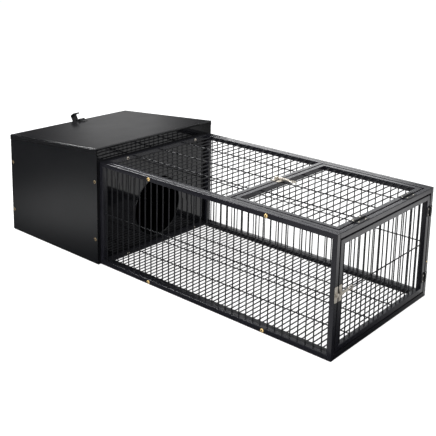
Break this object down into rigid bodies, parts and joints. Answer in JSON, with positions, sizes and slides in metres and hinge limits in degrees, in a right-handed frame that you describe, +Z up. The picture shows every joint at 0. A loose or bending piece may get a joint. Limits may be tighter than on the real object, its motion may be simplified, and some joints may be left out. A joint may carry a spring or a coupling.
{
  "type": "animal hutch with wire run",
  "caption": "Long low wire run with a hinged top door and end door, joined to a sheet-steel nest box that has a sloping hinged lid and a toggle latch",
  "frame": {"origin": "centre of the bounding box in plan, on the surface the hutch stands on", "axes": "+X runs from the nest box towards the end door, +Z is up, and the front long side faces -Y"},
  "size_m": [1.3946, 0.5484, 0.3892],
  "materials": {
    "black_frame": "satin black powder coat on welded square steel tube",
    "black_wire": "satin black powder coat on welded steel wire",
    "gloss_black_sheet": "gloss black paint on folded sheet steel",
    "black_hardware": "semi-gloss black paint on pressed steel",
    "zinc_hardware": "dull zinc plate with a warm tint",
    "brass_screw": "brass-coloured plated screws with a dark drive recess"
  },
  "bodies": {
    "root": {"front_panel_frame": "black_frame", "front_panel_mesh": "black_wire", "rear_panel_frame": "black_frame", "rear_panel_mesh": "black_wire", "floor_panel_frame": "black_frame", "floor_panel_mesh": "black_wire", "top_panel_frame": "black_frame", "top_panel_mesh": "black_wire", "panel_screws": "brass_screw", "rear_post_screw": "brass_screw", "run_joining_screws": "zinc_hardware", "nest_front_wall": "gloss_black_sheet", "nest_rear_wall": "gloss_black_sheet", "nest_left_wall": "gloss_black_sheet", "nest_right_wall": "gloss_black_sheet", "nest_floor_tray": "gloss_black_sheet", "nest_wall_screws": "brass_screw", "lid_hinge_fixed_leaf": "gloss_black_sheet", "lid_hinge_pin": "zinc_hardware", "latch_base": "black_hardware", "latch_base_rivets": "black_hardware", "latch_lever_pin": "zinc_hardware", "top_hinge_fixed_leaves": "black_hardware", "top_hinge_pins": "zinc_hardware", "top_bolt_keeper": "zinc_hardware", "end_hinge_fixed_leaves": "black_hardware", "end_hinge_pins": "zinc_hardware", "end_bolt_keeper": "zinc_hardware", "fixed_hardware_rivets": "zinc_hardware"},
    "lid": {"lid_panel": "gloss_black_sheet", "lid_hinge_moving_leaf": "gloss_black_sheet", "lid_catch": "black_hardware", "lid_catch_rivets": "black_hardware"},
    "lever": {"latch_lever": "black_hardware", "latch_claw_pin": "zinc_hardware"},
    "claw": {"latch_claw": "black_hardware"},
    "top_door": {"top_door_frame": "black_frame", "top_door_mesh": "black_wire", "top_hinge_moving_leaves": "black_hardware", "top_bolt_base": "zinc_hardware", "top_door_rivets": "zinc_hardware"},
    "top_bolt_rod": {"top_bolt": "zinc_hardware"},
    "end_door": {"end_door_frame": "black_frame", "end_door_mesh": "black_wire", "end_hinge_moving_leaves": "black_hardware", "end_bolt_base": "zinc_hardware", "end_door_rivets": "zinc_hardware"},
    "end_bolt_rod": {"end_bolt": "zinc_hardware"}
  },
  "joints": [
    {"name": "lid_hinge", "type": "hinge", "parent": "root", "child": "lid", "pos_m": [-0.2003, 0, 0.386], "axis": [0, 1, 0], "range_deg": [0, 105]},
    {"name": "latch_lever_pivot", "type": "hinge", "parent": "root", "child": "lever", "pos_m": [-0.6633, 0.03, 0.323], "axis": [0, -1, 0], "range_deg": [0, 90]},
    {"name": "latch_claw_pivot", "type": "hinge", "parent": "lever", "child": "claw", "pos_m": [-0.66668, 0.03, 0.33025], "axis": [0, 1, 0], "range_deg": [0, 123]},
    {"name": "top_door_hinge", "type": "hinge", "parent": "root", "child": "top_door", "pos_m": [0.6707, 0, 0.3478], "axis": [0, 1, 0], "range_deg": [0, 170]},
    {"name": "top_bolt_slide", "type": "slide", "parent": "top_door", "child": "top_bolt_rod", "axis": [-1, 0, 0], "range_m": [0, 0.017]},
    {"name": "end_door_hinge", "type": "hinge", "parent": "root", "child": "end_door", "pos_m": [0.6905, 0.243, 0.1725], "axis": [0, 0, 1], "range_deg": [0, 170]},
    {"name": "end_bolt_slide", "type": "slide", "parent": "end_door", "child": "end_bolt_rod", "axis": [0, -1, 0], "range_m": [0, 0.017]}
  ],
  "couplings": [
    {"joint": "latch_claw_pivot", "follows": "latch_lever_pivot", "ratio": 1.3666}
  ]
}
